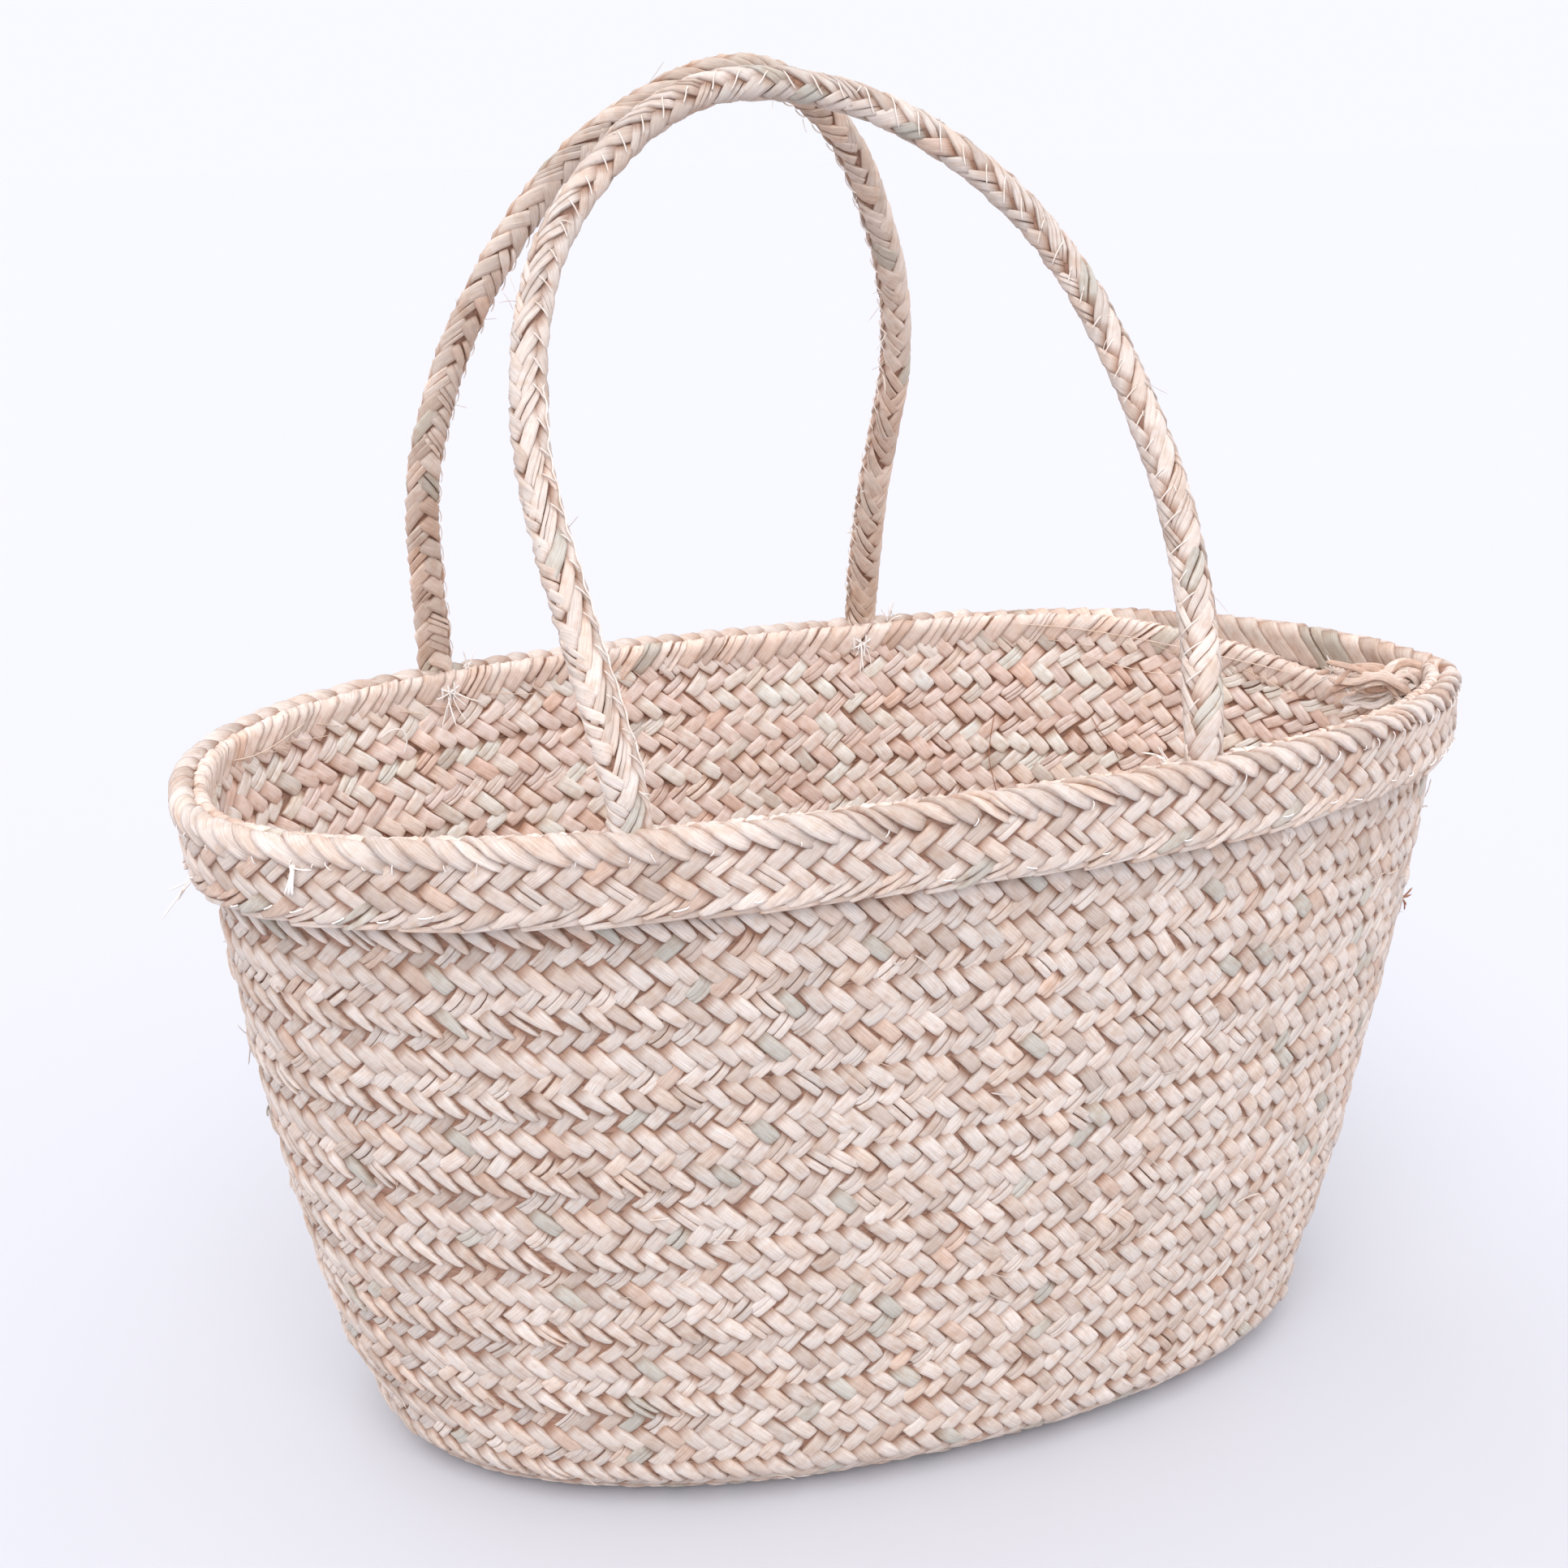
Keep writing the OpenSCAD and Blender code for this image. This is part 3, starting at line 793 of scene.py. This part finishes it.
def handle_surface(side, lift=0.0):
    """Surface over (length along the handle, length round it), its length and girth."""
    path, run, ex, ez = handle_path(side)
    total = run[-1]
    tangent = np.gradient(path, axis=0)
    tangent /= np.linalg.norm(tangent, axis=1, keepdims=True)
    facing = np.cross(ex, ez)
    facing = facing if facing[1] < 0 else -facing
    inner = np.cross(tangent, facing[None])
    inner /= np.linalg.norm(inner, axis=1, keepdims=True)
    front = np.cross(inner, tangent)
    girth = 2 * (HANDLE_W + HANDLE_T) * 0.80

    def surface(a, s):
        k = np.clip(a / total, 0, 1)
        centre, inn, fro = (
            np.stack([np.interp(a, run, line[:, j]) for j in range(3)], -1)
            for line in (path, inner, front)
        )
        size = 1 - (1 - TAPER) * np.sin(math.pi * k)
        flat = 0.30 + 0.70 * smooth(np.minimum(a, total - a), 0.010, 0.034)
        # the front handle's left upright shows one column of the braid narrower
        column = girth / 4
        first = column * mix(0.62, 1.0, smooth(k, 0.2, 0.5)) if side == "front" else column
        s = np.mod(s, girth)
        half = np.where(s > girth / 2, girth - s, s)
        beyond = first + (half - column) / column * (2 * column - first)
        half = np.where(half < column, half / column * first, beyond)
        s = np.where(s > girth / 2, girth - half, half)
        turned = np.abs(np.sin(math.pi * k)) ** np.where(k < 0.5, 2, 6)
        twist = math.radians(46) + math.radians(40) * turned if side == "front" else 0.10
        phi = 2 * math.pi * s / girth + twist
        w, t = HANDLE_W / 2 * size - 0.0009, HANDLE_T / 2 * size * flat - 0.0009
        c, d = np.cos(phi), np.sin(phi)
        x = spow(c, 0.85) * (w + lift)
        y = spow(d, 0.85) * (t + lift)
        return centre + inn * x[..., None] + fro * y[..., None]

    return surface, total, girth


def handle_piece(side):
    opening = 1 if side == "front" else -1
    surface, total, girth = handle_surface(side)
    row_h = girth / 4
    count = round(total / HANDLE_PITCH)
    pitch = total / count
    slant = math.atan2(row_h, pitch)
    # both handles are a little lighter than the wall's strips; the back one is painted lighter still, most
    # in red, as painted light where it gets less light than the front one
    shade = (1.05, 1.05, 1.05) if side == "front" else (1.10, 1.05, 1.0)
    tables = []
    for r in range(4):
        rising = (r % 2 == 0) == (opening > 0)
        a = (np.arange(count + 1) + (0.25 if r % 2 else 0.75) - 0.5) * pitch
        t = strips(len(a), a=a, s=(r + 0.5) * row_h, tint=tones(len(a), shade))
        # long steep strips one way, shorter ones the other way
        lean = 0.66 if rising else mix(slant, 0.60, smooth(a / total, 0.6, 0.95))
        t["ang"] = (math.pi - lean) if rising else (math.pi + lean)
        if opening < 0:
            t["ang"] += math.pi
        t["len"], t["wid"] = row_h / np.sin(lean) * 1.14, pitch * np.sin(lean) * 1.10
        t["h"], t["round"], t["peak"], t["roll"] = 0.0008, 0.30, 0.62, 0.0003
        # a little darker towards the top of the arch
        t["tint"] *= 1 - 0.15 * np.sin(math.pi * np.clip(a / total, 0, 1))[:, None] ** 4
        tables.append(split(split(jitter(t, 0.0004, 0.07, 0.08), 0.42), 0.16))
    table = np.concatenate(tables)
    to_end = np.minimum(table["a"], total - table["a"])
    inside, _, _ = handle_surface(side, lift=-0.0007)
    s = np.linspace(0, girth, 16, endpoint=False)[None]

    def core(a0, a1, steps):
        a = np.linspace(a0, a1, steps)[:, None]
        # painted shade: the core takes the dark under tint
        return grid_mesh(inside(a + 0 * s, s + 0 * a), wrap_v=True, tint=UNDER_SHADE_TINT)

    for end, near in (("left", table["a"] < total / 2), ("right", table["a"] > total / 2)):
        tail = table[near & (to_end > 0.003) & (to_end < TAIL_CUT)]
        ends = (0.002, TAIL_CUT) if end == "left" else (total - TAIL_CUT, total - 0.002)
        parts = [(leaf_mesh(surface, tail, COARSE), 0), (core(*ends, 12), 1)]
        make_piece(f"{side}_{end}_tail", parts, LEAVES, nodes=[f"tail_{side}_{end}"])
    hairs = []
    for a0 in np.sort(RNG.uniform(0.03, total - 0.03, 16)):
        s0 = RNG.uniform(0, girth)
        p = surface(np.array([a0, a0 + 0.001]), np.array([s0, s0]))
        out = p[0] - surface(np.array([a0]), np.array([s0 + girth / 2]))[0]
        out = out / np.linalg.norm(out)
        hairs += fray(p[0], 0.7 * out + (p[1] - p[0]) / 0.001, 0.5, 1, 7, 0.10, [HAIR_TINT], 0.1)
    weave = leaf_mesh(surface, table[to_end >= TAIL_CUT])
    piece = make_piece(
        f"braided_{side}_handle",
        [(weave, 0)] + hairs,
        LEAVES,
        body=None,
        nodes=[f"handle_{side}_cover"],
    )
    filler = make_piece(
        f"{side}_handle_core",
        [(core(TAIL_CUT - 0.002, total - TAIL_CUT + 0.002, 260), 0)],
        [BACKING],
        body=None,
        nodes=[f"handle_{side}_core"],
    )
    stitches = []
    outside, _, _ = handle_surface(side, lift=0.0012)
    for a0 in np.arange(ROOT_DEPTH, total - ROOT_DEPTH, 0.0085):
        w = np.linspace(-1, 1, 9) * RNG.uniform(0.75, 1.2)
        reach = RNG.uniform(0.0022, 0.0040)
        slope = opening * (1 if a0 < total / 2 else -1)
        aa = a0 + w * slope * RNG.uniform(0.0014, 0.0026) + RNG.normal(0, 0.0005)
        points = outside(aa, w * reach)
        stitches.append((tube(points, 0.00023, tint=STITCH_TINT), 0))
        if RNG.random() < 0.25:
            out = points[-1] - surface(np.array([a0]), np.array([girth / 2]))[0]
            stitches += fray(points[-1], out, 0.7, 1, 4, 0.16, [STITCH_TINT])
    if side == "front":
        # a slack thread winds up the edge of the left upright
        run = np.arange(0.030, 0.150, 0.0018)
        wave = 0.0011 * np.sin(run * 740) + 0.0006 * np.sin(run * 310)
        stitches.append((tube(outside(run, wave - 0.0036), 0.0003, tint=STITCH_TINT), 0))
    sewing = make_piece(
        f"{side}_handle_stitches",
        stitches,
        [THREAD],
        body=None,
        nodes=[f"handle_{side}_thread"],
    )
    for p in (piece, filler, sewing):
        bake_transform(p)


handle_piece("front")
handle_piece("back")

# ---- threads and loose ends -----------------------------------------------------------------
CORD_R, CORD_TWISTS = 0.0005, 60
BASE_SEAMS = [(i - BASE_TURNS) * TURN_H for i in range(BASE_TURNS + 1)]
WALL_SEAMS = [CORNER_LEN + i * TURN_H for i in range(WALL_TURNS)]


def inner_face(t, s):
    return skin(t, s, IN_D)


for i, level in enumerate(BASE_SEAMS + WALL_SEAMS, 1):
    # the cord runs unseen between the two faces of the plait
    t = round_angles(240)
    path = skin(t, level, PLAIT_T / 2)
    ang = np.linspace(0, 2 * math.pi, 6, endpoint=False)[None]
    tangent = np.roll(path, -1, 0) - np.roll(path, 1, 0)
    tangent /= np.linalg.norm(tangent, axis=-1, keepdims=True)
    inward = np.cross(tangent, np.array([0, 0, 1.0]))
    upward = np.cross(inward, tangent)
    spin = (ang + t * CORD_TWISTS)[..., None]
    radius = CORD_R * (1 + 0.25 * np.cos(2 * ang))[..., None]
    ring = path + radius * (inward * np.cos(spin) + upward * np.sin(spin))
    lacing = grid_mesh(ring, wrap_u=True, wrap_v=True, tint=CORD_TINT, flip=True)
    make_piece(f"lacing_cord_{i}", [(lacing, 0)], [CORD], nodes=[f"lacing_{i}"])


def stitch(x, y, heights):
    """Four points of a straight stitch across its middle, from (-x, -y) to (x, y) in mm."""
    return [(x * k, y * k, h) for k, h in zip((-1, -0.5, 0.5, 1), heights)]


top_stitches, low_stitches = [], []
border = FACE_LEN - 0.0035
for t0 in np.arange(0, 360, 3.1):
    if RNG.random() < 0.72:
        size, lean = RNG.uniform(0.7, 2.4), RNG.normal(0, 0.5)
        points = stitch(lean, -size, (1.0, 1.9, 1.7, 0.9))
        top_stitches.append((thread(band_profile, t0 + RNG.normal(0, 0.6), border, points, 0.2), 0))
for t0 in np.arange(0, 360, 5.6):
    if RNG.random() < 0.8:
        size, lean = RNG.uniform(1.2, 2.8), RNG.normal(0.3, 0.4)
        points = stitch(size, lean, (0.8, 1.6, 1.6, 0.8))
        level = RNG.uniform(0.003, 0.0055)
        low_stitches.append((thread(band_profile, t0 + RNG.normal(0, 1), level, points, 0.24), 0))
knot = 214.6  # where a knotted thread end hangs on the band's face, in degrees
for dx in (-0.7, 0.0, 0.7):
    points = [(dx, 2.5, 1.4), (dx * 0.5, 0, 2.2), (dx - 1.2, -4, 2.4), (dx * 1.8 - 2.4, -7.5, 2.3)]
    top_stitches.append((thread(band_profile, knot, 0.019, points, 0.42), 0))
points = [(-1.5, 1.6, 1.2), (0.5, 1.7, 2.2), (3.0, 1.3, 2.2), (6.0, 0.9, 1.0)]
top_stitches.append((thread(band_profile, knot, 0.019, points, 0.26), 0))
# thread ends stick out under the band at the round end
p, along, up, out = place(band_profile, 186, 0.001)
low_stitches += fray(p, out - up * 0.7, 0.10, 4, 9, 0.32, [THREAD_TINT], 0.2)
make_piece("band_stitches_upper", top_stitches, [THREAD], nodes=["band_stitches_top"])
make_piece("band_stitches_lower", low_stitches, [THREAD], nodes=["band_stitches_bottom"])

# where the handles are tied in, in degrees, and the ties from (x, y) to (x, y) in mm
ROOTS = {"front_left": 248, "front_right": 288, "back_left": 123, "back_right": 83.5}
TIES = [(-6, 3, 5, -3), (-5, -3, 6, 2), (-1, 5, 0, -6), (2, 5, 1.5, -5), (-3, 4, -3.4, -5)]
TIE_HEIGHTS = [(0, 0.6), (0.3, 2.2), (0.7, 2.2), (1, 0.7)]
for name, t0 in ROOTS.items():
    ties = []
    for tie in TIES:
        x0, y0, x1, y1 = np.array(tie) * RNG.uniform(0.8, 1.15, 4)
        points = [(mix(x0, x1, k), mix(y0, y1, k), h) for k, h in TIE_HEIGHTS]
        ties.append((thread(inner_face, t0, TOP_S - 0.008, points, 0.42, inward=True), 0))
    p, along, up, out = place(inner_face, t0, TOP_S - 0.008)
    ties += fray(p - out * 0.0018, -up - out * 0.35, 0.45, 7, 10, 0.26, [THREAD_TINT], 0.3)
    if name != "front_left":
        p, along, up, out = place(inner_face, t0 - 2.5, TOP_S - 0.0005)
        ties += fray(p, up * 0.8 - along * 0.8 - out * 0.3, 0.4, 6, 6, 0.26, [THREAD_TINT], 0.1)
    make_piece(f"tie_{name}", ties, [THREAD], nodes=[f"lashing_{name}"])

# fine ends caught in the inner edge
loose = []
for t0 in np.arange(4, 360, 4.3):
    if RNG.random() < 0.7:
        size = RNG.choice([4.0, 5.0, 6.0, 10.0]) * RNG.uniform(0.8, 1.15)
        level = TOP_S - selvedge_drop(math.radians(t0)) - RNG.uniform(0.010, 0.014)
        points = [(-size, 1.6, 1.0), (-size / 2, 1.1, 2.2), (size / 2, -0.8, 2.2), (size, -1.6, 1.0)]
        loose.append((thread(inner_face, t0, level, points, 0.17, FIBRE_TINT, True), 0))
# a thread loop and two long brown fibres
points = [(-8.5, 1.0, 1.6), (-5.0, 3.2, 2.6), (-0.5, 2.6, 3.0), (0.8, -1.5, 3.2), (-0.6, -6.5, 2.8)]
loose.append((thread(inner_face, 130.5, TOP_S - 0.0215, points, 0.34, inward=True), 0))
points = [(-1, 0, 1), (-3, -9, 3.5), (-3.5, -18, 4), (-1.5, -27, 3), (1.0, -36, 1)]
loose.append((thread(inner_face, 68, TOP_S - 0.0435, points, 0.2, BROWN_TINT, True), 0))
points = [(0, 0, 1), (3, -5, 3), (8, -11, 4), (12.5, -19, 1)]
loose.append((thread(inner_face, 55.8, TOP_S - 0.045, points, 0.2, BROWN_TINT, True), 0))
for t0, t1, deep in ((67, 27, 0.004), (58, 40, 0.017), (166, 146, 0.006)):
    # long slack threads that hang along the inner edge
    t = np.radians(np.linspace(t0, t1, 14))
    hang = 0.004 * np.sin(np.linspace(0, math.pi, 14))
    path = skin(t, TOP_S - selvedge_drop(t) - deep - hang, IN_D + 0.0034)
    loose.append((tube(path, 0.00022, tint=SLACK_TINT), 0))
make_piece("inner_loose_fibres", loose, [THREAD])

# short ends of leaf, then hairs, that stand out of the outside
scraps = []
for _ in range(110):
    t0 = RNG.uniform(0, 360)
    level = RNG.uniform(0.02, TOP_S - 0.04)
    size, lean = RNG.uniform(2.0, 4.5), RNG.uniform(-1, 1)
    end = RNG.uniform(0.8, 2.6)
    points = [(-size, -size * lean, 0.9), (0, 0, 1.9), (size, size * lean + RNG.normal(0, 0.6), 1.2 + end)]
    tint = tones(1)[0] * RNG.uniform(0.75, 1.05)
    scraps.append((thread(out_profile, t0, level, points, RNG.uniform(0.16, 0.34), tint), 0))
for _ in range(60):
    t0, level = RNG.uniform(0, 360), RNG.uniform(0.02, TOP_S - 0.03)
    p, along, up, out = place(out_profile, t0, level)
    toward = out + along * RNG.normal(0, 1) + up * RNG.normal(0, 0.6)
    scraps += fray(p, toward, 0.3, 1, 7, 0.11, [HAIR_TINT])
# a brown tuft on the wall at the pointed end
p, along, up, out = place(out_profile, 344, TOP_S - 0.092)
scraps += fray(p, out + along * 0.6 + up * 0.3, 0.5, 6, 6, 0.4, [BROWN_TINT])
make_piece("loose_leaf_scraps", scraps, [LEAF_SPLIT])

# end of the long plait, frayed and tucked into the pointed tip
END_TINTS = [linear(243, 228, 217), linear(233, 212, 198)]
END_TINTS += [linear(216, 186, 168), linear(249, 240, 234)]


def near_point(point, x, y, z):
    """A random point about the given one, spread by x, y and z."""
    return np.array(point) + RNG.normal(0, 1, 3) * np.array([x, y, z])


fringe = []
start = np.array([0.196, 0.000, 0.2455])
for i in range(26):
    # every fourth strip hangs lower
    low = np.array([0.003, -0.002, -0.008]) * (i % 4 == 3)
    a0 = near_point(start, 0.0035, 0.0030, 0.0026) + low
    a1 = near_point((0.206, -0.010, 0.2485), 0.003, 0.0035, 0.0026) + low
    a2 = near_point((0.2150, -0.0165, 0.2455), 0.0022, 0.002, 0.004)
    path = bend([a0, (a0 + a1) / 2 + RNG.normal(0, 0.001, 3), a1, a2], 5)
    fringe.append((tube(path, RNG.uniform(0.0007, 0.0019), 8, END_TINTS[i % 4], 0.25), 0))
fringe += fray(start, (0.6, -0.7, 0.15), 0.5, 8, 9, 0.35, END_TINTS, 0.35)
fringe += fray(start + np.array([0, 0, 0.002]), (-0.5, 0.3, 0.4), 0.6, 14, 6, 0.24, [THREAD_TINT], 0.3)
# and the last strips curl round inside the tip
curl = np.array([0.2148, -0.0168, 0.2468])
across = np.array([0.86, -0.50, 0.0])
for i in range(9):
    size = 0.0030 + 0.00062 * i
    sweep = np.linspace(-0.35, 2.9, 12)[:, None] + RNG.normal(0, 0.15)
    path = near_point(curl, 0.0008, 0.0016, 0.0005) + across * size * np.cos(sweep)
    path = path + np.array([0, 0, 1.0]) * size * np.sin(sweep)
    fringe.append((tube(path, RNG.uniform(0.0012, 0.0020), 8, END_TINTS[i % 3], 0.35), 0))
make_piece("plait_end_tuft", fringe, [LEAF_SPLIT], nodes=["plait_end"])

# ---- camera, light and floor ---------------------------------------------------------------------
AZIMUTH, PITCH_DOWN, ROLL = math.radians(15.9), math.radians(20), math.radians(-1)
SENSOR, FOCAL = 36.0, 41.0
CAMERA_AT = (-0.1883, -0.5724, 0.4452)
SKY, SKY_STRENGTH = (0.965, 0.972, 1.03, 1), 0.985
PAPER = (0.5751, 0.5771, 0.6178, 1)
FLOOR_HALF, FLOOR_Z = 30, -0.0006
right = Vector((math.cos(AZIMUTH), -math.sin(AZIMUTH), 0))
ahead = Vector((math.sin(AZIMUTH), math.cos(AZIMUTH), 0))
view = ahead * math.cos(PITCH_DOWN) - Vector((0, 0, math.sin(PITCH_DOWN)))
up = ahead * math.sin(PITCH_DOWN) + Vector((0, 0, math.cos(PITCH_DOWN)))
side = right * math.cos(ROLL) + up * math.sin(ROLL)
top = -right * math.sin(ROLL) + up * math.cos(ROLL)
camera = bpy.data.cameras.new("camera")
camera.sensor_width, camera.lens = SENSOR, FOCAL
camera_object = bpy.data.objects.new("camera", camera)
turn = Matrix((side, top, -view)).transposed().to_4x4()
camera_object.matrix_world = Matrix.Translation(CAMERA_AT) @ turn
bpy.context.scene.collection.objects.link(camera_object)
bpy.context.scene.camera = camera_object


def sun_light(name, source, spread, power, color=(1, 1, 1)):
    """A soft light from the direction of source, as large as spread, in degrees."""
    data = bpy.data.lights.new(name, "SUN")
    data.energy, data.angle, data.color = power, math.radians(spread), color
    lamp = bpy.data.objects.new(name, data)
    lamp.location = source
    lamp.rotation_euler = (-Vector(source)).to_track_quat("-Z", "Y").to_euler()
    bpy.context.scene.collection.objects.link(lamp)


sun_light("overhead", (-0.55, 0.45, 1.0), 70, 0.65, (1.0, 0.985, 0.97))
sun_light("front", (-0.42, -1.0, 1.5), 50, 1.68, (1.0, 0.99, 0.98))
sun_light("fill", (0.9, -0.35, 0.7), 90, 0.52)
world = bpy.data.worlds.new("studio")
world.use_nodes = True
sky = world.node_tree.nodes["Background"]
sky.inputs["Color"].default_value = SKY
sky.inputs["Strength"].default_value = SKY_STRENGTH
bpy.context.scene.world = world
bpy.context.scene.view_settings.view_transform = "Standard"

floor_mesh = bpy.data.meshes.new("floor")
corners = [(-1, -1), (1, -1), (1, 1), (-1, 1)]
floor_mesh.from_pydata([(x * FLOOR_HALF, y * FLOOR_HALF, 0) for x, y in corners], [], [(0, 1, 2, 3)])
floor = bpy.data.objects.new("floor", floor_mesh)
floor.location.z = FLOOR_Z
paper = bpy.data.materials.new("paper")
paper.use_nodes = True
shader = paper.node_tree.nodes["Principled BSDF"]
shader.inputs["Base Color"].default_value = PAPER
shader.inputs["Roughness"].default_value = 0.9
shader.inputs["Specular IOR Level"].default_value = 0
floor_mesh.materials.append(paper)
bpy.context.scene.collection.objects.link(floor)
